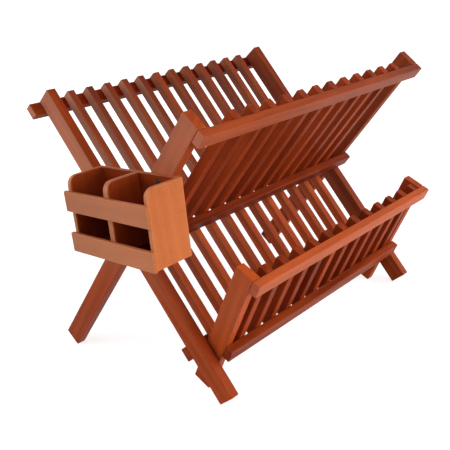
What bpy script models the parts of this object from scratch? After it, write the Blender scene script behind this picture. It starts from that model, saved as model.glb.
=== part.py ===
"""Folding wooden dish rack with a two-compartment cutlery caddy on its near end.

Three slatted panels are hinged to each other about axes along X. The back panel leans from
its feet at the front up to the back. The front panel crosses it and leans from its feet at the
back up to the front, so the two make an X with a V for plates above the crossing. The flap is
a short third panel, hinged near the back panel's feet, that leans out to the front and makes
a lower V for cups. Lengths are in metres, +Z is up, +X runs along the rack to its far end and
-Y is the front. The origin is at the middle of the bounding box's bottom.
"""

import math

import bmesh
import bpy
from mathutils import Matrix, Vector

# General clearances and edges
gap = 0.0003                     # between neighbours that touch in the real rack
edge_ease = 0.0006               # sanded edge on every wooden piece
cut_overrun = 0.002              # how far a cutter runs past a face
merge_distance = 0.00003         # between the ends of a turned profile's faces
round_steps = 20                 # sides of holes, collars and fasteners
sharp_angle = math.radians(60)   # edges sharper than this are sanded

# Stock that the three panels are made from
stile_thickness = 0.0135         # along X
stile_depth = 0.0265             # square to the panel
rail_width = 0.018               # along the panel
rail_thickness = 0.0112          # square to the panel
slat_thickness = 0.0115          # along X
slat_depth = 0.0128              # square to the panel
slat_count = 12                  # slats in each panel
slat_end_space = 0.03045         # from the back panel's stile to the middle of its end slat
front_slat_shift = 0.003         # front panel's slats sit a little to the far end
flap_slat_shift = 0.004          # and so do the flap's

# Panels
back_panel_width = 0.430         # over the back panel's stiles
back_stile_length = 0.453
front_stile_length = 0.449
back_lean = math.radians(50.6)   # back panel above the floor, rising to the back
front_lean = math.radians(50.6)  # front panel above the floor, rising to the front
flap_lean = math.radians(63.8)   # flap above the floor, rising to the front
main_pivot_along = 0.227         # from the back panel's foot end to the main pivot
flap_pivot_along = 0.0555        # from the back panel's foot end to the flap's pivot
flap_reach = 0.143               # from the flap's pivot to its top end
flap_rail_rise = 0.0135          # from the flap's pivot to its low rail
flap_floor_clearance = 0.0004    # under the flap's lower ends

# Main pivot pins, one at each end, with a collar between the stiles and a head on both sides
pin_radius = 0.0025
pin_head_radius = 0.0055
pin_head_height = 0.0022
pin_head_rim = 0.0009            # height of the head's straight rim
pin_collar_radius = 0.0070
pin_collar_thickness = 0.0014

# Collared screws that the flap turns on, driven from inside it into the back panel's stiles
flap_screw_radius = 0.0022
flap_screw_head_radius = 0.0048
flap_screw_head_height = 0.0020
flap_screw_collar_radius = 0.0070
flap_screw_collar_thickness = 0.0028
flap_screw_bite = 0.0095         # length inside the back panel's stile

# Caddy
caddy_width = 0.138              # over its side panels
caddy_depth = 0.058              # from the front panel's leg to the slats' front faces
caddy_height = 0.0905
caddy_panel = 0.0055             # thickness of its back, sides and floor
caddy_divider = 0.008            # thickness of its divider
caddy_divider_shift = 0.0004     # divider's middle from the caddy's middle, to the front
caddy_slat_thickness = 0.005
caddy_slat_overhang = 0.0026     # past each side panel
caddy_top_slat_drop = 0.0165     # from the side panels' top edge to the upper slat
caddy_top_slat_height = 0.0245
caddy_bottom_slat_height = 0.0235
caddy_corner_radius = 0.011      # front top corner of the sides and the divider
caddy_corner_steps = 6
ROUND_PROFILE = 0.5              # a bevel's profile value for a true arc
caddy_tilt = math.radians(2.6)   # the caddy hangs a little lower at its back end

# Screw that holds the caddy on the front panel's near leg
caddy_screw_radius = 0.0018
caddy_screw_head_radius = 0.0038
caddy_screw_head_height = 0.0016
caddy_screw_bite = 0.009         # length inside the leg
caddy_screw_along = 0.134        # from the main pivot along the leg
caddy_screw_side = 0.0055        # from the leg's centre line to its front edge
caddy_screw_inset = 0.0333       # from the caddy's front side face
caddy_screw_drop = 0.008         # from the side panels' top edge

# Finishes as linear RGB, roughness and metallic value
RED_BROWN_WOOD = ((0.330, 0.095, 0.040), 0.42, 0.0)
TAN_WOOD = ((0.470, 0.170, 0.075), 0.45, 0.0)
STEEL = ((0.420, 0.400, 0.380), 0.35, 1.0)

# The rack's two ends and their sides of its middle
ENDS = (("near", -1), ("far", 1))

# Places worked out from the sizes above
half_depth = stile_depth / 2
face = half_depth + gap                         # rails lie on a panel from here outwards
rail_outer = face + rail_thickness
side_gap = pin_collar_thickness + 2 * gap       # between back and front panel stiles
flap_side_gap = flap_screw_collar_thickness + 2 * gap
back_half = back_panel_width / 2
back_inner_half = back_half - stile_thickness
slat_pitch = 2 * (back_inner_half - slat_end_space) / (slat_count - 1)
front_inner_half = back_half + side_gap
front_half = front_inner_half + stile_thickness
flap_half = back_inner_half - flap_side_gap
flap_inner_half = flap_half - stile_thickness


def edge_lift(lean):
    """Height that a sanded edge takes off the lowest or farthest corner of a leaning piece."""
    return edge_ease * min(math.sin(lean), math.cos(lean))


def stop_distance(opening):
    """Distance from a pivot at which two crossed stiles' faces meet, for the angle between."""
    return face / math.tan(opening / 2)


main_pivot_z = (main_pivot_along * math.sin(back_lean) + half_depth * math.cos(back_lean)
                - edge_lift(back_lean))
front_pivot_along = ((main_pivot_z + edge_lift(front_lean) - half_depth * math.cos(front_lean))
                     / math.sin(front_lean))
front_top = front_stile_length - front_pivot_along
back_top = back_stile_length - main_pivot_along
pivot_spacing = main_pivot_along - flap_pivot_along
flap_pivot_z = main_pivot_z - pivot_spacing * math.sin(back_lean)
flap_tail = ((flap_pivot_z + edge_lift(flap_lean) - half_depth * math.cos(flap_lean)
              - flap_floor_clearance) / math.sin(flap_lean))
front_stop = stop_distance(back_lean + front_lean)
flap_stop = stop_distance(back_lean + flap_lean)
low_rail_start = flap_stop - pivot_spacing      # lower edge of the back panel's low rail

# The bounding box's middle, measured from the main pivot along Y and the rack's middle along X
back_reach = (back_top * math.cos(back_lean) + rail_outer * math.sin(back_lean)
              - edge_lift(back_lean))
flap_front = (pivot_spacing * math.cos(back_lean) + flap_reach * math.cos(flap_lean)
              + rail_outer * math.sin(flap_lean) - edge_lift(flap_lean))
panel_front = (front_top * math.cos(front_lean) + rail_outer * math.sin(front_lean)
               - edge_lift(front_lean))
front_reach = max(flap_front, panel_front)
main_pivot_y = (front_reach - back_reach) / 2
flap_pivot_y = main_pivot_y - pivot_spacing * math.cos(back_lean)
pin_head_top = front_half + gap + pin_head_height
caddy_front = front_half + gap + caddy_depth
rack_x = (max(caddy_front, pin_head_top) - pin_head_top) / 2


def clear_scene():
    for item in list(bpy.data.objects):
        bpy.data.objects.remove(item, do_unlink=True)


def make_collection(name):
    collection = bpy.data.collections.new(name)
    bpy.context.scene.collection.children.link(collection)
    return collection


def make_material(name, finish):
    colour, roughness, metallic = finish
    material = bpy.data.materials.new(name)
    material.use_nodes = True
    shader = material.node_tree.nodes["Principled BSDF"]
    shader.inputs["Base Color"].default_value = (*colour, 1)
    shader.inputs["Roughness"].default_value = roughness
    shader.inputs["Metallic"].default_value = metallic
    return material


def make_axis(name, location, turn, parent=None):
    """Empty on a joint's axis. Its Y runs up the panel and its Z leaves the panel's face."""
    axis = bpy.data.objects.new(name, None)
    parts.objects.link(axis)
    axis.parent = parent
    axis.location = location
    axis.rotation_euler = (turn, 0, 0)
    return axis


def add_object(name, mesh, axis, location, material=None, collection=None):
    piece = bpy.data.objects.new(name, mesh)
    (collection or parts).objects.link(piece)
    piece.parent = axis
    piece.location = location
    if material:
        mesh.materials.append(material)
    return piece


def ease_edges(piece):
    """Sand every sharp edge to a small flat."""
    bevel = piece.modifiers.new("sanded edges", "BEVEL")
    bevel.width = edge_ease
    bevel.segments = 1
    bevel.limit_method = "ANGLE"
    bevel.angle_limit = sharp_angle


def wooden_box(name, low, high, axis, material):
    """Square-cut stick or board between two corners in its axis' frame."""
    low, high = Vector(low), Vector(high)
    size = high - low
    mesh = bpy.data.meshes.new(name)
    shape = bmesh.new()
    bmesh.ops.create_cube(shape, size=1, matrix=Matrix.Diagonal((*size, 1)))
    shape.to_mesh(mesh)
    shape.free()
    piece = add_object(name, mesh, axis, (low + high) / 2, material)
    ease_edges(piece)
    return piece


def bore(piece, name, axis, place, radius, start, end):
    """Cut a round hole along X between start and end, at a place across the axis' frame."""
    mesh = bpy.data.meshes.new(name)
    shape = bmesh.new()
    bmesh.ops.create_cone(shape, cap_ends=True, segments=round_steps, radius1=radius,
                          radius2=radius, depth=abs(end - start),
                          matrix=Matrix.Rotation(math.pi / 2, 4, "Y"))
    shape.to_mesh(mesh)
    shape.free()
    location = ((start + end) / 2, place[0], place[1])
    cutter = add_object(name, mesh, axis, location, collection=cutters)
    cutter.display_type = "WIRE"
    cutter.hide_render = True
    cut = piece.modifiers.new(name, "BOOLEAN")
    cut.operation = "DIFFERENCE"
    cut.solver = "EXACT"
    cut.object = cutter


def turned(name, profile, side, axis, material):
    """Turn a profile about the axis' X line, for the near end (side -1) or the far end (+1).

    The profile is a list of (distance outwards along X, radius), from the inner end to the
    outer end.
    """
    mesh = bpy.data.meshes.new(name)
    points = [(side * distance, radius, 0) for distance, radius in profile]
    mesh.from_pydata(points, [(i, i + 1) for i in range(len(points) - 1)], [])
    piece = add_object(name, mesh, axis, (0, 0, 0), material)
    screw = piece.modifiers.new("turned", "SCREW")
    screw.axis = "X"
    screw.steps = round_steps
    screw.render_steps = round_steps
    screw.use_merge_vertices = True
    screw.merge_threshold = merge_distance
    screw.use_normal_flip = side > 0
    return piece


def slat_places(shift):
    """Middle of each slat along X, from the near end to the far end."""
    first = shift - (slat_count - 1) / 2 * slat_pitch
    return [first + i * slat_pitch for i in range(slat_count)]


def build_panel(prefix, axis, outer_half, bottom, top, slats, rail_side, rails, wood):
    """Two stiles, a row of slats and the rails that the slats lie on.

    outer_half is half the width over the stiles, slats holds the slats' lower end and their
    shift along X, rail_side is +1 or -1 for the face that carries the rails, and rails is a
    list of (name, start, half width).
    """
    slat_bottom, slat_shift = slats
    stiles = []
    for end, side in ENDS:
        spread = sorted((side * outer_half, side * (outer_half - stile_thickness)))
        stiles.append(wooden_box(f"{prefix}_stile_{end}", (spread[0], bottom, -half_depth),
                                 (spread[1], top, half_depth), axis, wood))
    levels = sorted((rail_side * half_depth, rail_side * (half_depth - slat_depth)))
    for number, middle in enumerate(slat_places(slat_shift), 1):
        wooden_box(f"{prefix}_slat_{number:02d}",
                   (middle - slat_thickness / 2, slat_bottom, levels[0]),
                   (middle + slat_thickness / 2, top, levels[1]), axis, wood)
    levels = sorted((rail_side * face, rail_side * rail_outer))
    for name, start, half_width in rails:
        wooden_box(f"{prefix}_{name}", (-half_width, start, levels[0]),
                   (half_width, start + rail_width, levels[1]), axis, wood)
    return stiles


def build_back_panel(axis, wood):
    rails = [("top_rail", back_top - rail_width, front_half),
             ("low_rail", low_rail_start, back_half)]
    stiles = build_panel("back", axis, back_half, -main_pivot_along, back_top,
                         (low_rail_start, 0), -1, rails, wood)
    for stile, (end, side) in zip(stiles, ENDS):
        bore(stile, f"back_{end}_pivot_bore", axis, (0, 0), pin_radius + gap,
             side * (back_half + cut_overrun), side * (back_inner_half - cut_overrun))
        bore(stile, f"back_{end}_flap_bore", axis, (-pivot_spacing, 0),
             flap_screw_radius + gap, side * (back_inner_half + flap_screw_bite + gap),
             side * (back_inner_half - cut_overrun))


def build_front_panel(axis, wood):
    rails = [("top_rail", front_top - rail_width, front_half),
             ("low_rail", front_stop, front_half)]
    stiles = build_panel("front", axis, front_half, -front_pivot_along, front_top,
                         (front_stop, front_slat_shift), 1, rails, wood)
    for stile, (end, side) in zip(stiles, ENDS):
        bore(stile, f"front_{end}_pivot_bore", axis, (0, 0), pin_radius + gap,
             side * (front_half + cut_overrun), side * (front_inner_half - cut_overrun))
    bore(stiles[0], "front_near_caddy_bore", axis, (caddy_screw_along, caddy_screw_side),
         caddy_screw_radius + gap, -front_half - cut_overrun,
         -front_half + caddy_screw_bite + gap)


def build_flap(axis, wood):
    rails = [("top_rail", flap_reach - rail_width, flap_half),
             ("low_rail", flap_rail_rise, flap_half)]
    stiles = build_panel("flap", axis, flap_half, -flap_tail, flap_reach,
                         (flap_rail_rise, flap_slat_shift), 1, rails, wood)
    for stile, (end, side) in zip(stiles, ENDS):
        bore(stile, f"flap_{end}_bore", axis, (0, 0), flap_screw_radius + gap,
             side * (flap_half + cut_overrun), side * (flap_inner_half - cut_overrun))


def build_pivots(main_axis, flap_axis, steel):
    """A headed pin at each end of the main pivot and a screw at each end of the flap's."""
    inner = back_inner_half - gap
    outer = front_half + gap
    dome = pin_head_radius - (pin_head_height - pin_head_rim)
    pin = [(inner - pin_head_height, 0), (inner - pin_head_height, dome),
           (inner - pin_head_rim, pin_head_radius), (inner, pin_head_radius),
           (inner, pin_radius), (back_half + gap, pin_radius),
           (back_half + gap, pin_collar_radius),
           (front_inner_half - gap, pin_collar_radius), (front_inner_half - gap, pin_radius),
           (outer, pin_radius), (outer, pin_head_radius),
           (outer + pin_head_rim, pin_head_radius), (outer + pin_head_height, dome),
           (outer + pin_head_height, 0)]
    head = flap_inner_half - gap
    screw = [(head - flap_screw_head_height, 0),
             (head - flap_screw_head_height, flap_screw_radius),
             (head, flap_screw_head_radius), (head, flap_screw_radius),
             (flap_half + gap, flap_screw_radius), (flap_half + gap, flap_screw_collar_radius),
             (back_inner_half - gap, flap_screw_collar_radius),
             (back_inner_half - gap, flap_screw_radius),
             (back_inner_half + flap_screw_bite, flap_screw_radius),
             (back_inner_half + flap_screw_bite, 0)]
    for end, side in ENDS:
        turned(f"main_pivot_pin_{end}", pin, side, main_axis, steel)
        turned(f"flap_pivot_screw_{end}", screw, side, flap_axis, steel)


def rounded_board(name, low, high, axis, material):
    """Board whose front top corner, at its -X side, is rounded in the XZ plane."""
    board = wooden_box(name, low, high, axis, material)
    shape = bmesh.new()
    shape.from_mesh(board.data)
    corner = [edge for edge in shape.edges
              if all(vert.co.x < 0 and vert.co.z > 0 for vert in edge.verts)]
    bmesh.ops.bevel(shape, geom=corner, offset=caddy_corner_radius, offset_type="OFFSET",
                    segments=caddy_corner_steps, profile=ROUND_PROFILE, affect="EDGES")
    shape.to_mesh(board.data)
    shape.free()
    return board


def build_caddy(axis, wood, steel):
    """Caddy in a frame whose origin is its screw's place on the leg's face, +Y to the back."""
    front_y = -caddy_screw_inset
    back_y = front_y + caddy_width
    top = caddy_screw_drop
    bottom = top - caddy_height
    seat = -gap
    front_face = seat - caddy_depth
    board_front = front_face + caddy_slat_thickness + gap
    inner_back = seat - caddy_panel
    back_panel = wooden_box("caddy_back", (inner_back, front_y + caddy_panel + gap, bottom),
                            (seat, back_y - caddy_panel - gap, top), axis, wood)
    for name, y in (("caddy_side_front", front_y), ("caddy_side_back", back_y - caddy_panel)):
        rounded_board(name, (board_front, y, bottom), (seat, y + caddy_panel, top), axis, wood)
    floor_top = bottom + caddy_panel
    wooden_box("caddy_floor", (board_front, front_y + caddy_panel + gap, bottom),
               (inner_back - gap, back_y - caddy_panel - gap, floor_top), axis, wood)
    middle = (front_y + back_y) / 2 - caddy_divider_shift
    rounded_board("caddy_divider",
                  (board_front, middle - caddy_divider / 2, floor_top + gap),
                  (inner_back - gap, middle + caddy_divider / 2, top), axis, wood)
    top_slat_high = top - caddy_top_slat_drop
    for name, low, high in (
            ("caddy_slat_top", top_slat_high - caddy_top_slat_height, top_slat_high),
            ("caddy_slat_bottom", bottom, bottom + caddy_bottom_slat_height)):
        wooden_box(name, (front_face, front_y - caddy_slat_overhang, low),
                   (front_face + caddy_slat_thickness, back_y + caddy_slat_overhang, high),
                   axis, wood)
    bore(back_panel, "caddy_back_bore", axis, (0, 0), caddy_screw_radius + gap,
         inner_back - cut_overrun, cut_overrun)
    head = -inner_back + gap
    turned("caddy_screw",
           [(-caddy_screw_bite, 0), (-caddy_screw_bite, caddy_screw_radius),
            (head, caddy_screw_radius), (head, caddy_screw_head_radius),
            (head + caddy_screw_head_height, caddy_screw_radius),
            (head + caddy_screw_head_height, 0)],
           -1, axis, steel)


clear_scene()
parts = make_collection("wooden_dish_rack")
cutters = make_collection("cutters")

red_brown = make_material("red_brown_wood", RED_BROWN_WOOD)
tan = make_material("tan_wood", TAN_WOOD)
steel = make_material("steel", STEEL)

main_pivot = (rack_x, main_pivot_y, main_pivot_z)
back_axis = make_axis("back_panel_axis", main_pivot, back_lean)
front_axis = make_axis("front_panel_axis", main_pivot, math.pi - front_lean)
flap_axis = make_axis("flap_axis", (rack_x, flap_pivot_y, flap_pivot_z), math.pi - flap_lean)
caddy_axis = make_axis("caddy_seat", (-front_half, caddy_screw_along, caddy_screw_side),
                       -(math.pi - front_lean) - caddy_tilt, front_axis)

build_back_panel(back_axis, red_brown)
build_front_panel(front_axis, red_brown)
build_flap(flap_axis, red_brown)
build_pivots(back_axis, flap_axis, steel)
build_caddy(caddy_axis, tan, steel)
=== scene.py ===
"""Finished look of the folding dish rack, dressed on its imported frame.

Every stick and board of the rack is remade as a softly rounded piece of stained wood with its
own grain, the pins and screws are turned in brushed steel, and a stage lights the rack for a
picture. Lengths are in metres, +Z is up, +X runs along the rack to its far end and -Y is its
front, as in the frame.
"""

import math

import bpy
import numpy as np
from bpy.props import FloatProperty, FloatVectorProperty, IntProperty, PointerProperty
from mathutils import Matrix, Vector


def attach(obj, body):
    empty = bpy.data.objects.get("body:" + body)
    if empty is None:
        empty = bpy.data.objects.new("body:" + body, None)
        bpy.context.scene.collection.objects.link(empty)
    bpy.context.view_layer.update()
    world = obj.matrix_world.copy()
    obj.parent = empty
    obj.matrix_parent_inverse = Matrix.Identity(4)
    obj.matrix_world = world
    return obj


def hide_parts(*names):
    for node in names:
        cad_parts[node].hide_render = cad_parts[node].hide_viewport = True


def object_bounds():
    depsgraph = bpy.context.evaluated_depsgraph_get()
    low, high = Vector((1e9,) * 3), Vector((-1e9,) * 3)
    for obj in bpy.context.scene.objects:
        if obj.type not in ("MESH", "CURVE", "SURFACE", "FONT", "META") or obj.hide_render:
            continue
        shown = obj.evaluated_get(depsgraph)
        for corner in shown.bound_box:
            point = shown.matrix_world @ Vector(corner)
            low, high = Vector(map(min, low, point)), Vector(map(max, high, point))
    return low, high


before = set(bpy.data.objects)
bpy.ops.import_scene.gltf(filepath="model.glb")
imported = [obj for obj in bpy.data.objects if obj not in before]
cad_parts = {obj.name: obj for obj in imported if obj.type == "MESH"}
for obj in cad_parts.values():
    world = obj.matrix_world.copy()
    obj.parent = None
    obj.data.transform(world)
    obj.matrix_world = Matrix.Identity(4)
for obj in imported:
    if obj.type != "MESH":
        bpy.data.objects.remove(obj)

CAD_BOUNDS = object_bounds()

bl_info = {
    "name": "Folding Dish Rack",
    "version": (1, 0, 0),
    "blender": (4, 5, 0),
    "location": "3D View > Sidebar > Dish Rack",
    "description": "Dresses a folding wooden dish rack and lights it for a picture",
    "category": "Object",
}

# What each family of nodes rides on, the node that gives its directions, and its finish
FAMILIES = {
    "back": ("back_frame", "back_stile_near", "red_brown_wood"),
    "front": ("front_frame", "front_stile_near", "red_brown_wood"),
    "flap": ("flap_frame", "flap_stile_near", "red_brown_wood"),
    "caddy": ("front_frame", "caddy_slat_top", "tan_wood"),
}
# What the pins and screws ride on, by the first word of their nodes' names
FASTENER_BODIES = {"main": "back_frame", "flap": "back_frame", "caddy": "front_frame"}
X_DIRECTION, UP_PANEL, OUT_OF_PANEL = 0, 1, 2       # the rows of own_axes
MATERIALS = {}                  # the material of each of the record's finishes
GROUPS = {}                     # the node groups that the woods share

# How the frame is read
CAD_MARGIN = 0.00001            # how far each board stays inside its node's box
SQUARE_TO_X = 0.02              # largest X part of a normal that counts as square to X
ANGLE_STEP = math.radians(0.5)  # facets whose normals agree to this lie one way
RING_DECIMALS = 5               # of a metre, to which the points of a turned node's ring agree

# How boards are rounded
FRONT_TOP_CORNER = 3            # of a caddy board's profile, in rounded_block's order
END_STEPS = 3                   # in the rounding of a cut end
LARGEST_SANDED = 0.003          # a larger rounding is cut to its shape and is even
SANDING_WAVES = ((31, 40), (83, 71), (170, 13))     # radians per metre and per seed
LEAST_RADIUS = 0.00006          # keeps the points of a corner apart where a ring is drawn in
LEAST_SLIDE = 0.00002           # keeps the points beside a corner off it
RADIUS_SHARE = 0.9              # largest rounding, of half the board's thickness
SLIDE_SHARE = 0.6               # largest worn margin, of the flat half of a side
INSET_SHARE = 0.75              # largest inset inside a flat cut, of half the thickness
END_SHARE = 0.3                 # most that a rounded end and its margin take of the length

# How pins and screws are turned
END_FACE_HOLE = 0.0001          # radius of the face that closes a turned end's middle
LOW_SCREW_DROP = 0.042          # along the leg, from the caddy's screw down to its low one

# How pieces differ and age
TONE_CHANGE = 0.22              # between the lightest and darkest pieces that are alike
GOLDEN_STEP = 0.618034          # spreads the pieces' tones and grain evenly
GRAIN_SHIFT = 7                 # along the grain, between seeds of 0 and 1
ARC_WEAR = 0.35                 # at both ends of a rounding, whose middle has a wear of 1
END_DEPTH = 0.006               # over which the darkening of a cut end falls to 1 / e

# Repeats per metre along, across and through the grain, and along and across a turned piece
WOOD_SCALES = {"bands": (5, 45, 45), "rings": (2.2, 38, 38), "fibres": (35, 1100, 1100),
               "pores": (160, 1900, 1900), "mottle": (11, 16, 16), "rubbed": (28, 120, 120)}
STEEL_SCALES = {"rings": (4000, 900, 900), "dull": (350, 350, 350)}
# The noise at which a pore, a rubbed patch and a dull patch start and are whole
PORE_RANGE, RUBBED_RANGE, DULL_RANGE = (0.60, 0.72), (0.30, 0.68), (0.35, 0.75)
# How much each part of the grain moves the stain from deep to light, the roughness and the bump
STAIN_SHARES = {"rings": 0.30, "bands": 1.3, "fibres": 0.5, "mottle": 0.9}
WOOD_ROUGHNESS_SHARES = {"mottle": 0.16, "pores": 0.12}
WOOD_HEIGHT_SHARES = {"fibres": 0.6, "pores": -0.8}
STEEL_ROUGHNESS_SHARES = {"dull": 0.25, "rings": 0.12}
STEEL_ROUGHNESS = 0.14          # without these shares
# How far pores and cut ends darken the wood, and what they multiply its colour by
PORE_STRENGTH, PORE_COLOUR = 0.35, (0.30, 0.22, 0.18, 1)
CUT_END_STRENGTH, CUT_END_COLOUR = 0.12, (0.50, 0.42, 0.38, 1)
DULL_SHARE = 0.55               # of the steel's colour that is left in a dull patch
WOOD_BUMP = {"Strength": 0.35, "Distance": 0.00025}
STEEL_BUMP = {"Strength": 0.2, "Distance": 0.00005}
WOOD_SPECULAR = 0.05
NODE_SPACING = (200, -180)      # between neighbouring nodes in the shader editor

# The stage: each lamp's size and place, with its power in RackStage, and the floor
LAMPS = {
    "front": (2.0, (0.1, -2.0, 0.9)),
    "low": (1.2, (0.2, -2.2, 0.35)),
    "front_right": (2.2, (1.8, -1.7, 0.8)),
    "left": (1.4, (-1.35, 0.95, 1.05)),
    "near": (0.9, (-1.3, -0.7, 1.0)),
    "back": (2.2, (0.3, 2.2, 1.2)),
}
LAMP_TARGET = (0.0, 0.0, 0.15)
FLOOR_HALF = 6.0                # half of the floor's side
FLOOR_DROP = 0.0002             # from the lowest edges of the rack down to the floor
FLOOR_ROUGHNESS = 0.9
GLOW_NEAR = 0.72                # how white the floor shows under the rack; further out it is 1
GLOW_RANGE = (0.35, 1.6)        # from the middle, over which it rises to that
SENSOR_WIDTH = 36.0             # in millimetres


# Sizes and colours that a user would change

class RackShape(bpy.types.PropertyGroup):
    """Sizes of the rounding and the surface of each wooden piece"""
    edge_radius: FloatProperty(
        name="Edge Radius", description="Rounding of the long edges of stiles, slats and rails",
        default=0.00125, min=0.0002, unit="LENGTH")
    board_edge_radius: FloatProperty(
        name="Board Edge Radius", description="Rounding of the edges of the caddy's thin boards",
        default=0.0009, min=0.0002, unit="LENGTH")
    end_radius: FloatProperty(
        name="End Radius", description="Rounding of the cut ends of a piece",
        default=0.0009, min=0.0002, unit="LENGTH")
    caddy_corner_radius: FloatProperty(
        name="Caddy Corner Radius",
        description="Front top corner of the caddy's sides and divider",
        default=0.011, min=0.002, unit="LENGTH")
    edge_unevenness: FloatProperty(
        name="Edge Unevenness", description="How much hand sanding varies a long edge's rounding",
        default=0.17, min=0.0, max=0.6, subtype="FACTOR")
    margin: FloatProperty(
        name="Worn Margin", description="Width of the worn strip beside an edge",
        default=0.0022, min=0.0005, unit="LENGTH")
    ring_spacing: FloatProperty(
        name="Ring Spacing", description="Distance between the rings of a long piece",
        default=0.012, min=0.003, unit="LENGTH")
    corner_steps: IntProperty(
        name="Corner Steps", description="Steps in each rounded edge", default=4, min=2, max=12)
    turned_columns: IntProperty(
        name="Turned Columns", description="Points round each pin and screw",
        default=48, min=12, max=128)


class RackFinish(bpy.types.PropertyGroup):
    """Colours and finish of the stained wood and the steel"""
    red_deep: FloatVectorProperty(
        name="Red-Brown, Deep", description="Stain where the red-brown wood takes it most",
        default=(0.110, 0.010, 0.002), size=3, min=0.0, max=1.0, subtype="COLOR")
    red_light: FloatVectorProperty(
        name="Red-Brown, Light", description="Stain where the red-brown wood takes it least",
        default=(0.620, 0.102, 0.019), size=3, min=0.0, max=1.0, subtype="COLOR")
    red_worn: FloatVectorProperty(
        name="Red-Brown, Worn", description="Red-brown wood rubbed thin at its edges",
        default=(0.480, 0.120, 0.045), size=3, min=0.0, max=1.0, subtype="COLOR")
    tan_deep: FloatVectorProperty(
        name="Tan, Deep", description="Stain where the caddy's wood takes it most",
        default=(0.110, 0.010, 0.002), size=3, min=0.0, max=1.0, subtype="COLOR")
    tan_light: FloatVectorProperty(
        name="Tan, Light", description="Stain where the caddy's wood takes it least",
        default=(0.640, 0.180, 0.055), size=3, min=0.0, max=1.0, subtype="COLOR")
    tan_worn: FloatVectorProperty(
        name="Tan, Worn", description="Caddy's wood rubbed thin at its edges",
        default=(0.680, 0.270, 0.120), size=3, min=0.0, max=1.0, subtype="COLOR")
    # Painted sheen and painted light: the pale tan that faces turned to the light are mixed toward,
    # more higher up
    sheen_colour: FloatVectorProperty(
        name="Painted Sheen", description="Pale tan mixed in as painted sheen and light",
        default=(0.700, 0.380, 0.260), size=3, min=0.0, max=1.0, subtype="COLOR")
    # Painted shade: what the colour is multiplied by in recesses, between slats and under the
    # panels
    shade_colour: FloatVectorProperty(
        name="Painted Shade", description="What painted shade multiplies the colour of the wood by",
        default=(0.700, 0.380, 0.240), size=3, min=0.0, max=1.0, subtype="COLOR")
    # Darker than bare steel: painted shade, for the caddy's screw that sits in shade
    steel: FloatVectorProperty(
        name="Steel", description="Colour of the pins and screws",
        default=(0.140, 0.136, 0.130), size=3, min=0.0, max=1.0, subtype="COLOR")
    red_contrast: FloatProperty(
        name="Red-Brown Contrast", description="How strongly the red-brown wood's grain shows",
        default=0.42, min=0.0, max=1.0, subtype="FACTOR")
    tan_contrast: FloatProperty(
        name="Tan Contrast", description="How strongly the grain of the caddy's wood shows",
        default=0.20, min=0.0, max=1.0, subtype="FACTOR")
    red_wear: FloatProperty(
        name="Red-Brown Wear", description="How far the red-brown wood's edges are rubbed",
        default=0.16, min=0.0, max=1.0, subtype="FACTOR")
    tan_wear: FloatProperty(
        name="Tan Wear", description="How far the caddy's edges are rubbed",
        default=0.75, min=0.0, max=1.0, subtype="FACTOR")
    # Strength of the painted sheen and painted light
    sheen_strength: FloatProperty(
        name="Painted Sheen Strength", description="How strongly the painted sheen and light are mixed in",
        default=0.24, min=0.0, max=1.0, subtype="FACTOR")
    wood_roughness: FloatProperty(
        name="Wood Roughness", description="Satin lacquer's roughness",
        default=0.42, min=0.0, max=1.0, subtype="FACTOR")


class RackStage(bpy.types.PropertyGroup):
    """Camera, floor and lamps"""
    camera_place: FloatVectorProperty(
        name="Camera Place", description="Camera's place in the rack's frame",
        default=(-0.68223, -0.61944, 0.49983), size=3, subtype="TRANSLATION", unit="LENGTH")
    camera_yaw: FloatProperty(
        name="Camera Yaw", description="Turn about the vertical, from looking along +Y",
        default=math.radians(-46.437), subtype="ANGLE")
    camera_pitch: FloatProperty(
        name="Camera Pitch", description="Angle above the horizon that the camera looks along",
        default=math.radians(-20.727), subtype="ANGLE")
    camera_roll: FloatProperty(
        name="Camera Roll", description="Turn about the line of sight",
        default=math.radians(-4.224), subtype="ANGLE")
    focal_length: FloatProperty(
        name="Focal Length", description="On a 36 mm wide sensor, in millimetres",
        default=54.825, min=1.0)
    floor_colour: FloatVectorProperty(
        name="Floor", description="Pale floor under the rack",
        default=(0.60, 0.60, 0.60), size=3, min=0.0, max=1.0, subtype="COLOR")
    front_power: FloatProperty(
        name="Front Lamp", description="Power of the soft lamp before the rack, in watts",
        default=15.0, min=0.0)
    low_power: FloatProperty(
        name="Low Lamp", description="Power of the low lamp before the rack, in watts",
        default=15.0, min=0.0)
    front_right_power: FloatProperty(
        name="Front Right Lamp", description="Power of the lamp before its far end, in watts",
        default=45.0, min=0.0)
    left_power: FloatProperty(
        name="Left Lamp", description="Power of the lamp behind its near end, in watts",
        default=18.0, min=0.0)
    near_power: FloatProperty(
        name="Near Lamp", description="Power of the lamp before its near end, in watts",
        default=5.0, min=0.0)
    back_power: FloatProperty(
        name="Back Lamp", description="Power of the soft lamp behind the rack, in watts",
        default=16.0, min=0.0)
    fill: FloatProperty(
        name="Fill", description="Strength of the even light from all round",
        default=0.05, min=0.0)


# Looks of the wooden pieces

# Ways that a face turns: to -X, -Y and -Z, and to +X, +Y and +Z
FACES = ("near", "front", "down", "far", "back", "up")


def on_faces(start=-0.02, full=-0.01, **faces):
    """Reach of painted sheen and light, and of painted shade: from its start to where it is full,
    and its strength each way.

    Its defaults reach all of a piece, and a way that isn't named has no strength.
    """
    return start, full, [faces.get(face, 0.0) for face in FACES]


def look(tone, light_slope=(0.0, 0.0, 0.0), fade=on_faces(), soak=on_faces()):
    """Look of the pieces that one row of LOOKS is for.

    The tone is how light they are, partly their stain and partly painted light and shade, and the
    slope is painted light and shade: how that changes per metre along X, Y and Z. A painted sheen
    and painted light pale them by the height of each point, and painted shade darkens them by its
    way along X from the piece's near end.
    """
    return {"tone": tone, "light_slope": light_slope, "fade": fade, "soak": soak}


# Painted shade, a quarter strong, on every face
PAINTED_SHADE_ALL_ROUND = on_faces(**dict.fromkeys(FACES, 0.25))
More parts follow.
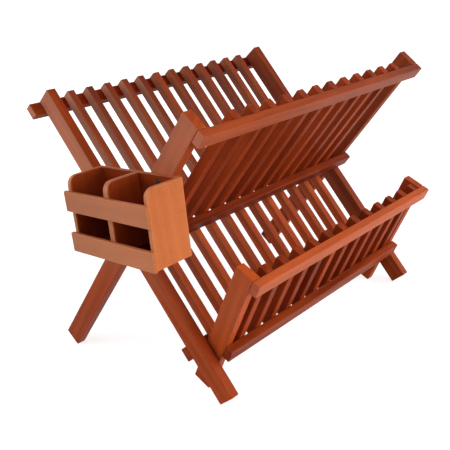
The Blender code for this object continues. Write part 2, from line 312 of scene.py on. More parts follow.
# Each row's tone and slope are painted light and shade as well as the stain's tone: pieces are
# lighter where light falls and darker where shade falls
# A node has the look of the first of these that its name starts with
LOOKS = {
    "back_stile_near": look(-0.10, (-15.0, 0.0, -0.15), on_faces(0.09, 0.24, near=1.3),
                            on_faces(front=0.2, up=0.1)),
    "back_stile_far": look(-0.10, (0.0, 0.0, -0.6), on_faces(0.0, 0.1, near=0.25)),
    # Painted shade darkens this rail between the slats, past its near end
    "back_top_rail": look(-0.10, (-0.5, 0.0, 0.0), on_faces(0.0, 0.1, near=1.5),
                          on_faces(0.015, 0.022, front=0.7, down=0.7, back=0.7, up=0.7)),
    "back_slat_01": look(0.03, (-25.0, 0.0, -2.0), on_faces(0.05, 0.25, near=2.2, front=0.2)),
    **{f"back_slat_0{place}": look(0.0, (-9.0, 0.0, -2.0),
                                   on_faces(0.05, 0.25, near=1.55, front=0.2))
       for place in (2, 3, 4, 5)},
    "back_slat": look(-0.01, (-4.0, 0.0, -2.0), on_faces(0.05, 0.25, near=0.7, front=0.2)),
    "back": look(-0.12),
    "front_stile_near": look(0.0, (0.0, 0.0, 0.4), on_faces(0.10, 0.26, near=1.0)),
    "front_stile_far": look(-0.32, fade=on_faces(0.0, 0.1, near=0.15)),
    "front_top_rail": look(-0.04, (-0.6, 0.0, 0.0),
                           on_faces(0.0, 0.1, near=1.2, front=0.1, down=0.6)),
    # Painted shadow: this rail lies in the flap's shadow and is given a dark tone
    "front_low_rail": look(-0.48),
    "front": look(-0.07, soak=PAINTED_SHADE_ALL_ROUND),
    "flap_slat": look(-0.08, (0.35, 0.0, 0.0), soak=PAINTED_SHADE_ALL_ROUND),
    "flap_low_rail": look(-0.30, (0.4, 0.0, 0.0)),
    "flap_top_rail": look(0.36, (0.2, 0.0, 0.0),
                          on_faces(0.0, 0.1, near=0.6, front=0.4, down=0.4)),
    "flap_stile_near": look(0.20, (0.0, 0.0, 3.0), on_faces(0.05, 0.15, near=0.3)),
    "flap": look(0.20),
    # Painted shade darkens the caddy's inner faces; the slopes of its back and floor darken them
    # further along X and Z
    "caddy_back": look(-0.12, (60.0, 0.0, 2.0), soak=on_faces(near=1.0)),
    "caddy_floor": look(-0.15, (0.0, 0.0, -100.0), soak=on_faces(up=1.0)),
    "caddy_divider": look(0.05, (-3.0, 0.0, 4.0), on_faces(near=1.0),
                          on_faces(0.0005, 0.003, front=1.0, back=1.0)),
    "caddy_side_back": look(0.07, (-3.5, 40.0, 3.5), on_faces(near=1.0),
                            on_faces(0.0005, 0.003, front=1.0)),
    "caddy_side_front": look(0.26, (0.0, 0.0, -1.0), on_faces(near=1.0),
                             on_faces(0.0005, 0.003, back=1.0)),
    "caddy_slat": look(0.19, (0.0, -2.0, 0.0), on_faces(near=1.0)),
}


def reached(measure, normals, start, full, strengths):
    """How far painted sheen and light, and painted shade, reach each point, by a measure of the
    point and by its normal.

    With t the way of the measure from start to full, it is 3 t^2 - 2 t^3, times the sum over
    FACES of the normal's part that way times the strength there.
    """
    way = np.clip((measure - start) / (full - start), 0, 1)
    turned_there = np.clip(np.hstack((-normals, normals)), 0, 1) @ strengths
    return way ** 2 * (3 - 2 * way) * turned_there


# Wooden pieces

def mesh_values(items, key, width):
    """One value of each vertex or facet of a mesh, in rows of this width."""
    values = np.empty(len(items) * width)
    items.foreach_get(key, values)
    return values.reshape(-1, width)


def own_axes(node):
    """Rows X, up the panel and out of it, for the boards that lie as this node does.

    The facets whose normals are square to X are sorted by the angle of those about X. The angle
    that covers the most area is the line out of the panel, and the direction up the panel is
    square to that and to X, with its largest part positive.
    """
    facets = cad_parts[node].data.polygons
    normals, areas = mesh_values(facets, "normal", 3), mesh_values(facets, "area", 1)[:, 0]
    flat = np.abs(normals[:, 0]) < SQUARE_TO_X
    angles = np.arctan2(normals[flat, 2], normals[flat, 1]) % math.pi
    bins = np.round(angles / ANGLE_STEP).astype(int)
    widest = np.bincount(bins, weights=areas[flat]).argmax()
    angle = np.average(angles[bins == widest], weights=areas[flat][bins == widest])
    up_panel = np.array((0.0, -math.sin(angle), math.cos(angle)))
    up_panel *= np.sign(up_panel[np.abs(up_panel).argmax()])
    along_x = np.array((1.0, 0.0, 0.0))
    return np.array((along_x, up_panel, np.cross(along_x, up_panel)))


def own_box(node, axes):
    """Lowest and highest corner of a node along the given axes."""
    places = mesh_values(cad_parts[node].data.vertices, "co", 3) @ axes.T
    return places.min(axis=0), places.max(axis=0)


def arc_wear(angle):
    """Wear round an edge as the angle goes from 0 to pi: a sine that rises from ARC_WEAR to 1."""
    return ARC_WEAR + (1 - ARC_WEAR) * np.sin(angle)


def end_nearness(distance):
    """1 at a cut end, falling with the distance from it as exp(-distance / END_DEPTH)."""
    return np.exp(-distance / END_DEPTH)


def corner_line(steps):
    """Turn in quarter circles, slide in margins, and wear of the points at a profile's corner.

    The points run from one margin before the quarter circle, along it in even steps, to one
    margin after it. Wear is greatest at the middle of the quarter circle.
    """
    turn = np.concatenate(([0.0], np.linspace(0.0, 1.0, steps + 1), [1.0]))
    slide = np.concatenate(([-1.0], np.zeros(steps + 1), [1.0]))
    wear = np.where(slide == 0.0, arc_wear(math.pi * turn), 0.0)
    return turn, slide, wear


def end_rings(length, end_radius, inset_limit, margin, spacing):
    """Place along the piece, inset, tilt of the normal to the end and wear of each ring.

    At each end a ring lies inside the flat cut, then a quarter circle eases it into the sides:
    at an angle t the inset is radius * (1 - sin t) and the place is radius * (1 - cos t) from
    the end. Rings at even steps carry the sides between the two ends.
    """
    t = np.linspace(0.0, math.pi / 2, END_STEPS + 1)
    inner = min(end_radius + margin, inset_limit)
    beside = min(end_radius + margin, length * END_SHARE)
    place = np.concatenate(([0.0], end_radius * (1 - np.cos(t)), [beside]))
    inset = np.concatenate(([inner], end_radius * (1 - np.sin(t)), [0.0]))
    tilt = np.concatenate(([1.0], np.cos(t), [0.0]))
    wear = np.concatenate(([0.0], arc_wear(2 * t), [0.0]))
    count = max(int((length - 2 * beside) / spacing), 1)
    middle = np.linspace(beside, length - beside, count + 1)[1:-1]
    zero = np.zeros_like(middle)
    return (np.concatenate((place, middle, length - place[::-1])),
            np.concatenate((inset, zero, inset[::-1])),
            np.concatenate((-tilt, zero, tilt[::-1])),
            np.concatenate((wear, zero, wear[::-1])))


def sanding(places, seed, amount):
    """Slow change of an edge's rounding along a piece: 1 plus a mean of three sines."""
    waves = [np.sin(places * per_metre + seed * per_seed) for per_metre, per_seed in SANDING_WAVES]
    return 1 + amount * sum(waves) / len(waves)


def rounded_block(low, high, carried, radii, shape, seed):
    """Surface of a board as a profile carried along one of its axes, and its values.

    The profile is a rectangle with a quarter circle at each corner. A point at the angle a
    lies at the corner circle's centre + radius * (cos a, sin a), plus a slide along the side.
    Each ring of the surface is that profile, drawn in by the ring's inset, at the ring's place
    along the board. Returns places, normals, wear, nearness to a cut end, rings and columns.
    """
    u, v = (carried + 1) % 3, (carried + 2) % 3
    length, half_u, half_v = (high - low)[carried], (high - low)[u] / 2, (high - low)[v] / 2
    smallest = min(half_u, half_v)
    places, inset, tilt, end_wear = end_rings(
        length, shape.end_radius, smallest * INSET_SHARE, shape.margin, shape.ring_spacing)
    uneven = sanding(places, seed, shape.edge_unevenness)
    turn, slide, line_wear = corner_line(shape.corner_steps)
    grid_u, grid_v, normal_u, normal_v = [], [], [], []
    for corner, (side_u, side_v) in enumerate(((1, 1), (-1, 1), (-1, -1), (1, -1))):
        full = radii[corner] * (uneven if radii[corner] < LARGEST_SANDED else 1.0)
        radius = np.clip(full - inset, LEAST_RADIUS, smallest * RADIUS_SHARE)[:, None]
        reach_u, reach_v = half_u - inset[:, None], half_v - inset[:, None]
        angle = (corner + turn)[None, :] * (math.pi / 2)
        room = np.minimum(reach_u, reach_v) - radius
        step = slide[None, :] * np.clip(room * SLIDE_SHARE, LEAST_SLIDE, shape.margin)
        grid_u.append(side_u * (reach_u - radius) + radius * np.cos(angle)
                      - step * np.sin(angle))
        grid_v.append(side_v * (reach_v - radius) + radius * np.sin(angle)
                      + step * np.cos(angle))
        normal_u.append(np.cos(angle) + 0 * radius)
        normal_v.append(np.sin(angle) + 0 * radius)
    grid_u, grid_v = np.hstack(grid_u), np.hstack(grid_v)
    rings, columns = grid_u.shape
    points = np.empty((rings, columns, 3))
    points[..., carried] = (low[carried] + places)[:, None]
    points[..., u] = (low[u] + high[u]) / 2 + grid_u
    points[..., v] = (low[v] + high[v]) / 2 + grid_v
    normals = np.empty_like(points)
    level = np.sqrt(1 - tilt ** 2)[:, None]
    normals[..., carried] = tilt[:, None]
    normals[..., u] = level * np.hstack(normal_u)
    normals[..., v] = level * np.hstack(normal_v)
    wear = np.maximum(np.tile(line_wear, 4)[None, :] * (level > 0), end_wear[:, None])
    nearness = np.repeat(end_nearness(np.minimum(places, length - places)), columns)
    return (points.reshape(-1, 3), normals.reshape(-1, 3), wear.ravel(), nearness,
            rings, columns)


def grid_faces(rings, columns):
    """Four-sided faces between neighbouring rings, closed round, and one face over each end."""
    i, j = np.meshgrid(np.arange(rings - 1), np.arange(columns), indexing="ij")
    after = (j + 1) % columns
    sides = np.stack((i * columns + j, i * columns + after,
                      (i + 1) * columns + after, (i + 1) * columns + j), axis=-1)
    start = np.arange(columns)[::-1]
    finish = (rings - 1) * columns + np.arange(columns)
    return sides.reshape(-1, 4).tolist() + [start.tolist(), finish.tolist()]


def new_object(name, data):
    """Object at the origin that holds this data, in the scene."""
    holder = bpy.data.objects.new(name, data)
    bpy.context.scene.collection.objects.link(holder)
    return holder


def new_piece(name, points, faces, normals, values, material):
    """Object at the origin from a surface, its normals and the values that its finish reads."""
    mesh = bpy.data.meshes.new(name)
    mesh.from_pydata(points.tolist(), [], faces)
    mesh.shade_smooth()
    mesh.normals_split_custom_set_from_vertices(normals.tolist())
    for key, value in values.items():
        kind, field = ("FLOAT_VECTOR", "vector") if value.ndim == 2 else ("FLOAT", "value")
        layer = mesh.attributes.new(key, kind, "POINT")
        layer.data.foreach_set(field, value.astype(np.float32).ravel())
    mesh.materials.append(material)
    if mesh.validate():
        raise RuntimeError(f"the surface of {name} is not sound")
    return new_object(name, mesh)


def wooden_piece(node, grain_axis, carried, edge_radius, corner_radius=None):
    """Rounded board in the place of one node, with its grain along grain_axis.

    Its tone is its look's, plus its own share of TONE_CHANGE, plus the look's slope times the way
    from its middle. The look's tone and slope are painted light and shade as well as stain; the
    share is the stain's own tone.
    """
    body, guide, finish = FAMILIES[node.split("_")[0]]
    axes = own_axes(guide)
    low, high = own_box(node, axes)
    low, high = low + CAD_MARGIN, high - CAD_MARGIN
    middle = (low + high) / 2
    order = sorted(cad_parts).index(node)
    seed = (order * GOLDEN_STEP) % 1.0
    radii = [edge_radius] * 4
    if corner_radius:
        radii[FRONT_TOP_CORNER] = corner_radius
    points, normals, wear, nearness, rings, columns = rounded_block(
        low, high, carried, radii, bpy.context.scene.rack_shape, seed)
    grain = np.roll(points - middle, -grain_axis, axis=1)
    grain += np.array((seed * GRAIN_SHIFT, seed, order))
    if carried != grain_axis:
        from_end = (high - low)[grain_axis] / 2 - np.abs((points - middle)[:, grain_axis])
        nearness = end_nearness(np.maximum(from_end, 0))
    points, normals = points @ axes, normals @ axes
    own_look = next(row for start, row in LOOKS.items() if node.startswith(start))
    tone = own_look["tone"] + (seed - 0.5) * TONE_CHANGE
    # Painted light and shade: the slope lightens or darkens the piece along X, Y and Z
    tone = tone + (points - middle @ axes) @ own_look["light_slope"]
    # Painted sheen and light by height on the faces turned to the light, and painted shade from the
    # near end
    fade = reached(points[:, 2], normals, *own_look["fade"])
    soak = reached(points[:, 0] - points[:, 0].min(), normals, *own_look["soak"])
    piece = new_piece(
        f"{node}_wood", points, grid_faces(rings, columns), normals,
        {"grain": grain, "wear": wear, "end": nearness, "tone": tone, "fade": fade, "soak": soak},
        MATERIALS[finish])
    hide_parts(node)
    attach(piece, body)


def nodes_like(*words):
    """Names of the frame's nodes that hold any of these words, in order."""
    found = [name for name in sorted(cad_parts) if any(word in name for word in words)]
    if not found:
        raise RuntimeError(f"the frame has no node like {words}")
    return found


# Turned fasteners

def turned(pairs, columns):
    """Each (place, radius) at the turns a round the X axis: (place, radius cos a, radius sin a)."""
    turn = np.linspace(0, 2 * math.pi, columns, endpoint=False)[None, :]
    place, radius = pairs[:, :1], pairs[:, 1:]
    return np.stack((place + 0 * turn, radius * np.cos(turn), radius * np.sin(turn)), axis=-1)


def turned_surface(profile, columns):
    """Points and normals of a profile of (place, radius) turned round the X axis.

    Each corner of the profile is given twice, once for either side of it, and the normal of a
    side that runs by (along, out) is (-out, along), brought to a length of 1.
    """
    run = np.diff(profile, axis=0)
    square = np.column_stack((-run[:, 1], run[:, 0])) / np.linalg.norm(run, axis=1)[:, None]
    line = np.repeat(profile, 2, axis=0)[1:-1]
    return turned(line, columns), turned(np.repeat(square, 2, axis=0), columns)


def turned_outline(node):
    """Profile of a turned node and its axis' place: its rings of points, in order along X.

    Where two rings share a place, the one nearer to the radius before it comes first.
    """
    places = mesh_values(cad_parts[node].data.vertices, "co", 3)
    middle = (places[:, 1:].min(axis=0) + places[:, 1:].max(axis=0)) / 2
    radius = np.linalg.norm(places[:, 1:] - middle, axis=1)
    rings = np.round(np.column_stack((places[:, 0], radius)), RING_DECIMALS)
    rings = np.unique(rings, axis=0)
    outline = [(rings[0, 0], END_FACE_HOLE)]
    for place in np.unique(rings[:, 0]):
        radii = rings[rings[:, 0] == place, 1]
        radii = radii[radii > END_FACE_HOLE]
        outline += [(place, radius) for radius in
                    radii[np.argsort(np.abs(radii - outline[-1][1]))]]
    return outline + [(rings[-1, 0], END_FACE_HOLE)], middle


def turned_piece(node, twin=None, shift=(0.0, 0.0, 0.0)):
    """Round pin or screw in the place of one node, or its twin at a shift from there."""
    outline, middle = turned_outline(node)
    columns = bpy.context.scene.rack_shape.turned_columns
    points, normals = turned_surface(outline, columns)
    points = points + np.array((0.0, *middle)) + shift
    piece = new_piece(f"{twin or node}_steel", points.reshape(-1, 3),
                      grid_faces(len(points), columns), normals.reshape(-1, 3), {},
                      MATERIALS["steel"])
    if twin is None:
        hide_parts(node)
    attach(piece, FASTENER_BODIES[node.split("_")[0]])


# Finishes

FLOAT, COLOUR, VECTOR = "NodeSocketFloat", "NodeSocketColor", "NodeSocketVector"


def add_node(tree, kind, place, values=None, **settings):
    """New node with its settings and the values of its unlinked sockets."""
    node = tree.nodes.new(kind)
    node.location = (place[0] * NODE_SPACING[0], place[1] * NODE_SPACING[1])
    for key, value in settings.items():
        setattr(node, key, value)
    for key, value in (values or {}).items():
        node.inputs[key].default_value = value
    return node


def new_group(name, inputs, outputs):
    """Node group with named sockets. Returns its tree and its input and output nodes."""
    tree = bpy.data.node_groups.new(name, "ShaderNodeTree")
    for side, sockets in (("INPUT", inputs), ("OUTPUT", outputs)):
        for socket, kind in sockets.items():
            tree.interface.new_socket(name=socket, in_out=side, socket_type=kind)
    return (tree, add_node(tree, "NodeGroupInput", (-2, 0)),
            add_node(tree, "NodeGroupOutput", (9, 0)))


def scaled(tree, source, scale, place):
    """The source vector times a scale along, across and through the grain."""
    node = add_node(tree, "ShaderNodeVectorMath", place, {1: scale}, operation="MULTIPLY")
    tree.links.new(source, node.inputs[0])
    return node.outputs[0]


def noise(tree, source, scale, place, **values):
    """Noise of the source vector times a scale, from 0 to 1, with its other sockets' values."""
    sockets = {key.capitalize(): value for key, value in values.items()}
    node = add_node(tree, "ShaderNodeTexNoise", place, {"Scale": 1.0, **sockets})
    tree.links.new(scaled(tree, source, scale, (place[0] - 1, place[1])), node.inputs["Vector"])
    return node.outputs["Fac"]


def math_node(tree, operation, place, *sources, clamp=False):
    """Math node of sources that are sockets or plain numbers."""
    node = add_node(tree, "ShaderNodeMath", place, operation=operation, use_clamp=clamp)
    for socket, source in zip(node.inputs, sources):
        if isinstance(source, (int, float)):
            socket.default_value = source
        else:
            tree.links.new(source, socket)
    return node.outputs[0]


def weighted(tree, parts, shares, total, place):
    """The total that is given, plus each of the named parts times its share."""
    for step, (name, share) in enumerate(shares.items()):
        total = math_node(tree, "MULTIPLY_ADD", (place[0] + step, place[1]),
                          parts[name], share, total)
    return total


def spread(tree, source, low, high, place):
    """Source from low to high as 0 to 1, smoothly."""
    node = add_node(tree, "ShaderNodeMapRange", place,
                    {"From Min": low, "From Max": high}, interpolation_type="SMOOTHSTEP")
    tree.links.new(source, node.inputs["Value"])
    return node.outputs["Result"]


def mix_colour(tree, factor, first, second, place, blend="MIX"):
    """First colour blended with the second by a factor, each a socket or a plain value."""
    node = add_node(tree, "ShaderNodeMix", place, data_type="RGBA", blend_type=blend)
    for socket, source in zip((node.inputs[0], node.inputs[6], node.inputs[7]),
                              (factor, first, second)):
        if isinstance(source, (int, float, tuple)):
            socket.default_value = source
        else:
            tree.links.new(source, socket)
    return node.outputs[2]


def wood_grain_group():
    """Stained grain: slow bands of stain, growth rings, fine fibres, pores and dark cut ends.

    The stain goes from deep to light by 0.5 + contrast * the sum of each part's share times its way
    from 0.5, plus the tone, which holds painted light and shade as well as the stain's tone. The
    mottle changes the roughness both ways, and pores add to it.
    The height is that of the bands, with the fibres raised and the pores sunk.
    """
    tree, source, result = new_group(
        "wood_grain",
        {"Place": VECTOR, "Deep": COLOUR, "Light": COLOUR, "Tone": FLOAT, "Cut End": FLOAT,
         "Contrast": FLOAT, "Roughness": FLOAT},
        {"Colour": COLOUR, "Roughness": FLOAT, "Height": FLOAT})
    place = source.outputs["Place"]
    rings = add_node(tree, "ShaderNodeTexWave", (0, -1),
                     {"Scale": 1.0, "Distortion": 5.0, "Detail": 3.0, "Detail Scale": 0.8},
                     bands_direction="DIAGONAL")
    tree.links.new(scaled(tree, place, WOOD_SCALES["rings"], (-1, -1)), rings.inputs["Vector"])
    pores = noise(tree, place, WOOD_SCALES["pores"], (0, 1), detail=1.0)
    parts = {
        "bands": noise(tree, place, WOOD_SCALES["bands"], (0, -2),
                       detail=4.0, roughness=0.55, distortion=0.7),
        "rings": rings.outputs["Fac"],
        "fibres": noise(tree, place, WOOD_SCALES["fibres"], (0, 0), detail=2.0, roughness=0.6),
        "pores": spread(tree, pores, *PORE_RANGE, (1, 1)),
        "mottle": noise(tree, place, WOOD_SCALES["mottle"], (0, 2), detail=3.0, roughness=0.6),
    }
    figure = weighted(tree, parts, STAIN_SHARES, -sum(STAIN_SHARES.values()) / 2, (1, -1))
    factor = math_node(tree, "MULTIPLY_ADD", (5, -1), figure, source.outputs["Contrast"], 0.5)
    # The tone adds painted light and shade as well as the stain's tone
    factor = math_node(tree, "ADD", (6, -1), factor, source.outputs["Tone"], clamp=True)
    colour = mix_colour(tree, factor, source.outputs["Deep"], source.outputs["Light"], (7, -1))
    pores = math_node(tree, "MULTIPLY", (7, 1), parts["pores"], PORE_STRENGTH)
    colour = mix_colour(tree, pores, colour, PORE_COLOUR, (8, -1), "MULTIPLY")
    ends = math_node(tree, "MULTIPLY", (7, 2), source.outputs["Cut End"], CUT_END_STRENGTH)
    colour = mix_colour(tree, ends, colour, CUT_END_COLOUR, (8, 0), "MULTIPLY")
    tree.links.new(colour, result.inputs["Colour"])
    rough = weighted(tree, parts, WOOD_ROUGHNESS_SHARES,
                     -WOOD_ROUGHNESS_SHARES["mottle"] / 2, (6, 3))
    rough = math_node(tree, "ADD", (8, 3), rough, source.outputs["Roughness"], clamp=True)
    tree.links.new(rough, result.inputs["Roughness"])
    height = weighted(tree, parts, WOOD_HEIGHT_SHARES, parts["bands"], (7, 5))
    tree.links.new(height, result.inputs["Height"])
    return tree


def worn_edge_group():
    """Stain rubbed thin along the edges, in uneven patches: patches * edge * amount."""
    tree, source, result = new_group(
        "worn_edge",
        {"Place": VECTOR, "Colour": COLOUR, "Worn": COLOUR, "Edge": FLOAT, "Amount": FLOAT},
        {"Colour": COLOUR})
    patches = noise(tree, source.outputs["Place"], WOOD_SCALES["rubbed"], (0, 0),
                    detail=3.0, roughness=0.65)
    patches = spread(tree, patches, *RUBBED_RANGE, (1, 0))
    mask = math_node(tree, "MULTIPLY", (2, 0), patches, source.outputs["Edge"])
    mask = math_node(tree, "MULTIPLY", (3, 0), mask, source.outputs["Amount"], clamp=True)
    colour = mix_colour(tree, mask, source.outputs["Colour"], source.outputs["Worn"], (4, 0))
    tree.links.new(colour, result.inputs["Colour"])
    return tree


def new_material(name):
    """Material with only a Principled shader. Returns it, its node tree and the shader."""
    material = bpy.data.materials.new(name)
    material.use_nodes = True
    return material, material.node_tree, material.node_tree.nodes["Principled BSDF"]


def read_value(tree, key, place, output="Fac"):
    """One of the values that new_piece stores in a piece."""
    return add_node(tree, "ShaderNodeAttribute", place, attribute_name=key).outputs[output]


def add_bump(tree, shader, height, settings, place):
    """Bump of the surface by a height."""
    bump = add_node(tree, "ShaderNodeBump", place, settings)
    tree.links.new(height, bump.inputs["Height"])
    tree.links.new(bump.outputs["Normal"], shader.inputs["Normal"])


def stained_wood(name, deep, light, contrast, worn, wear):
    """Satin stained wood: its grain, paled by painted sheen and light, then rubbed at the edges,
    then darkened by painted shade.
    """
    finish = bpy.context.scene.rack_finish
    material, tree, shader = new_material(name)
    grain = add_node(tree, "ShaderNodeGroup", (-6, 0),
                     {"Deep": (*deep, 1), "Light": (*light, 1), "Contrast": contrast,
                      "Roughness": finish.wood_roughness}, node_tree=GROUPS["wood_grain"])
    edge = add_node(tree, "ShaderNodeGroup", (-4, 0), {"Worn": (*worn, 1), "Amount": wear},
                    node_tree=GROUPS["worn_edge"])
    place = read_value(tree, "grain", (-8, 0), "Vector")
    for source, socket in (
            (place, grain.inputs["Place"]), (place, edge.inputs["Place"]),
            (read_value(tree, "tone", (-8, 1)), grain.inputs["Tone"]),
            (read_value(tree, "end", (-8, 2)), grain.inputs["Cut End"]),
            (read_value(tree, "wear", (-6, 2)), edge.inputs["Edge"]),
            (grain.outputs["Roughness"], shader.inputs["Roughness"])):
        tree.links.new(source, socket)
    # Painted sheen and painted light: faces turned to the light are mixed toward a pale tan
    fade = math_node(tree, "MULTIPLY", (-5, 3), read_value(tree, "fade", (-6, 3)), finish.sheen_strength)
    sheen_colour = mix_colour(tree, fade, grain.outputs["Colour"], (*finish.sheen_colour, 1), (-5, 0))
    tree.links.new(sheen_colour, edge.inputs["Colour"])
    # Painted shade: the colour is multiplied toward dark red where shade falls
    soak = read_value(tree, "soak", (-4, 2))
    colour = mix_colour(tree, soak, edge.outputs["Colour"], (*finish.shade_colour, 1), (-2, 0),
                        "MULTIPLY")
    tree.links.new(colour, shader.inputs["Base Color"])
    add_bump(tree, shader, grain.outputs["Height"], WOOD_BUMP, (-2, 2))
    shader.inputs["Specular IOR Level"].default_value = WOOD_SPECULAR
    return material


def brushed_steel(name):
    """Turned steel with fine rings and a few dull patches."""
    steel = tuple(bpy.context.scene.rack_finish.steel)
    material, tree, shader = new_material(name)
    place = add_node(tree, "ShaderNodeTexCoord", (-8, 0)).outputs["Object"]
    parts = {
        "rings": noise(tree, place, STEEL_SCALES["rings"], (-6, 0), detail=2.0, roughness=0.5),
        "dull": noise(tree, place, STEEL_SCALES["dull"], (-6, 1), detail=3.0, roughness=0.6),
    }
    colour = mix_colour(tree, spread(tree, parts["dull"], *DULL_RANGE, (-5, 1)), (*steel, 1),
                        (*(value * DULL_SHARE for value in steel), 1), (-4, 0))
    tree.links.new(colour, shader.inputs["Base Color"])
    rough = weighted(tree, parts, STEEL_ROUGHNESS_SHARES, STEEL_ROUGHNESS, (-5, 2))
    tree.links.new(rough, shader.inputs["Roughness"])
    add_bump(tree, shader, parts["rings"], STEEL_BUMP, (-3, 3))
    shader.inputs["Metallic"].default_value = 1.0
    return material


class RACK_OT_finishes(bpy.types.Operator):
    """Mix the stained woods and the steel that the pieces wear"""
    bl_idname = "dish_rack.finishes"
    bl_label = "Mix Finishes"

    def execute(self, context):
        finish = context.scene.rack_finish
        GROUPS["wood_grain"] = wood_grain_group()
        GROUPS["worn_edge"] = worn_edge_group()
        MATERIALS["red_brown_wood"] = stained_wood(
            "stained_red_brown", finish.red_deep, finish.red_light, finish.red_contrast,
            finish.red_worn, finish.red_wear)
        MATERIALS["tan_wood"] = stained_wood(
            "stained_tan", finish.tan_deep, finish.tan_light, finish.tan_contrast,
            finish.tan_worn, finish.tan_wear)
        MATERIALS["steel"] = brushed_steel("turned_steel")
        return {"FINISHED"}


class RACK_OT_stiles(bpy.types.Operator):
    """Build the two stiles of each panel"""
    bl_idname = "dish_rack.stiles"
    bl_label = "Build Stiles"

    def execute(self, context):
        for node in nodes_like("_stile_"):
            wooden_piece(node, UP_PANEL, UP_PANEL, context.scene.rack_shape.edge_radius)
        return {"FINISHED"}


class RACK_OT_slats(bpy.types.Operator):
    """Build the row of slats in each panel"""
    bl_idname = "dish_rack.slats"
    bl_label = "Build Slats"

    def execute(self, context):
        for node in nodes_like("back_slat_", "front_slat_", "flap_slat_"):
            wooden_piece(node, UP_PANEL, UP_PANEL, context.scene.rack_shape.edge_radius)
        return {"FINISHED"}


class RACK_OT_rails(bpy.types.Operator):
    """Build the rails that carry the slats"""
    bl_idname = "dish_rack.rails"
    bl_label = "Build Rails"

    def execute(self, context):
        for node in nodes_like("_rail"):
            wooden_piece(node, X_DIRECTION, X_DIRECTION, context.scene.rack_shape.edge_radius)
        return {"FINISHED"}


class RACK_OT_caddy(bpy.types.Operator):
    """Build the caddy's sides, divider, back, floor and front slats"""
    bl_idname = "dish_rack.caddy"
    bl_label = "Build Caddy"

    def execute(self, context):
        shape = context.scene.rack_shape
        edge = shape.board_edge_radius
        for node in nodes_like("caddy_side_", "caddy_divider"):
            wooden_piece(node, OUT_OF_PANEL, UP_PANEL, edge, shape.caddy_corner_radius)
        for node in nodes_like("caddy_back", "caddy_floor", "caddy_slat_"):
            wooden_piece(node, UP_PANEL, UP_PANEL, edge)
        return {"FINISHED"}


class RACK_OT_fasteners(bpy.types.Operator):
    """Turn the pins and screws"""
    bl_idname = "dish_rack.fasteners"
    bl_label = "Turn Fasteners"

    def execute(self, context):
        for node in nodes_like("_pin_", "_screw"):
            turned_piece(node)
        up_the_leg = own_axes("front_stile_near")[UP_PANEL]
        turned_piece("caddy_screw", "caddy_low_screw", -LOW_SCREW_DROP * up_the_leg)
        return {"FINISHED"}


# Stage

def placement(right, up, back, place):
    """Matrix that turns an object's X, Y and Z to these directions, at a place."""
    turn = np.eye(4)
    turn[:3] = np.column_stack((right, up, back, place))
    return Matrix(turn.tolist())


def soft_lamp(name, power, size, place):
    """Square area lamp that faces LAMP_TARGET, with its X level."""
    lamp = bpy.data.lights.new(name, "AREA")
    lamp.energy = power
    lamp.shape = "SQUARE"
    lamp.size = size
    back = np.array(place) - np.array(LAMP_TARGET)
    back /= np.linalg.norm(back)
    right = np.cross((0.0, 0.0, 1.0), back)
    right /= np.linalg.norm(right)
    new_object(name, lamp).matrix_world = placement(right, np.cross(back, right), back, place)


def white_to_camera(tree, place):
    """1 for camera, glossy and transmission rays, and 0 for the rays that light the rack."""
    path = add_node(tree, "ShaderNodeLightPath", place)
    both = math_node(tree, "MAXIMUM", (place[0] + 1, place[1]),
                     path.outputs["Is Camera Ray"], path.outputs["Is Glossy Ray"])
    return math_node(tree, "MAXIMUM", (place[0] + 2, place[1]), both,
                     path.outputs["Is Transmission Ray"])


def build_world(stage):
    """White where it is seen or mirrored, and an even fill elsewhere."""
    world = bpy.data.worlds.new("studio")
    bpy.context.scene.world = world
    world.use_nodes = True
    tree = world.node_tree
    background = tree.nodes["Background"]
    background.inputs["Color"].default_value = (1, 1, 1, 1)
    seen = white_to_camera(tree, (-5, 0))
    strength = math_node(tree, "MULTIPLY_ADD", (-1, 0), seen, 1 - stage.fill, stage.fill)
    tree.links.new(strength, background.inputs["Strength"])


def build_floor(stage):
    """Flat square of four corners just under the height on which the rack stands.

    What the camera sees of its white rises from GLOW_NEAR to 1 over GLOW_RANGE.
    """
    corners = np.array(((-1, -1), (1, -1), (1, 1), (-1, 1))) * FLOOR_HALF
    points = np.column_stack((corners, np.full(4, CAD_BOUNDS[0][2] - FLOOR_DROP)))
    mesh = bpy.data.meshes.new("floor")
    mesh.from_pydata(points.tolist(), [], [(0, 1, 2, 3)])
    material, tree, shader = new_material("pale_floor")
    shader.inputs["Base Color"].default_value = (*stage.floor_colour, 1)
    shader.inputs["Roughness"].default_value = FLOOR_ROUGHNESS
    shader.inputs["Specular IOR Level"].default_value = 0.0
    shader.inputs["Emission Color"].default_value = (1, 1, 1, 1)
    place = add_node(tree, "ShaderNodeTexCoord", (-6, 2)).outputs["Object"]
    away = add_node(tree, "ShaderNodeVectorMath", (-5, 2), operation="LENGTH")
    tree.links.new(place, away.inputs[0])
    glow = spread(tree, away.outputs["Value"], *GLOW_RANGE, (-4, 2))
    glow = math_node(tree, "MULTIPLY_ADD", (-3, 2), glow, 1 - GLOW_NEAR, GLOW_NEAR)
    seen = white_to_camera(tree, (-5, 0))
    tree.links.new(math_node(tree, "MULTIPLY", (-1, 0), seen, glow),
                   shader.inputs["Emission Strength"])
    mesh.materials.append(material)
    new_object("floor", mesh)


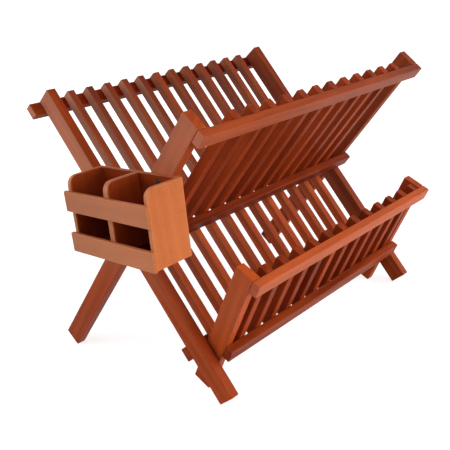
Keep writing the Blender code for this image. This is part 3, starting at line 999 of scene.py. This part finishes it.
def build_camera(stage):
    """Camera from its yaw, pitch and roll.

    It looks along (-sin yaw cos pitch, cos yaw cos pitch, sin pitch), rolled about that line.
    """
    yaw, pitch, roll = stage.camera_yaw, stage.camera_pitch, stage.camera_roll
    ahead = np.array((-math.sin(yaw) * math.cos(pitch), math.cos(yaw) * math.cos(pitch),
                      math.sin(pitch)))
    right = np.array((math.cos(yaw), math.sin(yaw), 0.0))
    up = np.cross(right, ahead)
    lens = bpy.data.cameras.new("camera")
    lens.sensor_width = SENSOR_WIDTH
    lens.lens = stage.focal_length
    camera = new_object("camera", lens)
    camera.matrix_world = placement(math.cos(roll) * right + math.sin(roll) * up,
                                    math.cos(roll) * up - math.sin(roll) * right,
                                    -ahead, stage.camera_place)
    bpy.context.scene.camera = camera


class RACK_OT_stage(bpy.types.Operator):
    """Set up the floor, the lamps, the white surround and the camera"""
    bl_idname = "dish_rack.stage"
    bl_label = "Set Up Stage"

    def execute(self, context):
        stage = context.scene.rack_stage
        context.scene.view_settings.view_transform = "Standard"
        build_world(stage)
        build_floor(stage)
        for name, (size, place) in LAMPS.items():
            soft_lamp(f"{name}_lamp", getattr(stage, f"{name}_power"), size, place)
        build_camera(stage)
        return {"FINISHED"}


class RACK_PT_tools(bpy.types.Panel):
    """Lists the rack's sizes, colours and building steps"""
    bl_idname = "RACK_PT_tools"
    bl_label = "Folding Dish Rack"
    bl_space_type = "VIEW_3D"
    bl_region_type = "UI"
    bl_category = "Dish Rack"

    def draw(self, context):
        for settings in (context.scene.rack_shape, context.scene.rack_finish,
                         context.scene.rack_stage):
            box = self.layout.box()
            for key in settings.__annotations__:
                box.prop(settings, key)
        for operator in OPERATORS:
            self.layout.operator(operator.bl_idname)


OPERATORS = (RACK_OT_finishes, RACK_OT_stiles, RACK_OT_slats, RACK_OT_rails, RACK_OT_caddy,
             RACK_OT_fasteners, RACK_OT_stage)
SETTINGS = {"rack_shape": RackShape, "rack_finish": RackFinish, "rack_stage": RackStage}


def register():
    """Make the settings, the building steps and their panel known to Blender."""
    for item in (*SETTINGS.values(), *OPERATORS, RACK_PT_tools):
        bpy.utils.register_class(item)
    for key, settings in SETTINGS.items():
        setattr(bpy.types.Scene, key, PointerProperty(type=settings))


def unregister():
    """Take back what register made known."""
    for key in SETTINGS:
        delattr(bpy.types.Scene, key)
    for item in (RACK_PT_tools, *reversed(OPERATORS), *reversed(SETTINGS.values())):
        bpy.utils.unregister_class(item)


def main():
    """Build the rack and its stage in order."""
    register()
    bpy.ops.dish_rack.finishes()
    bpy.ops.dish_rack.stiles()
    bpy.ops.dish_rack.slats()
    bpy.ops.dish_rack.rails()
    bpy.ops.dish_rack.caddy()
    bpy.ops.dish_rack.fasteners()
    bpy.ops.dish_rack.stage()


if __name__ == "__main__":
    main()
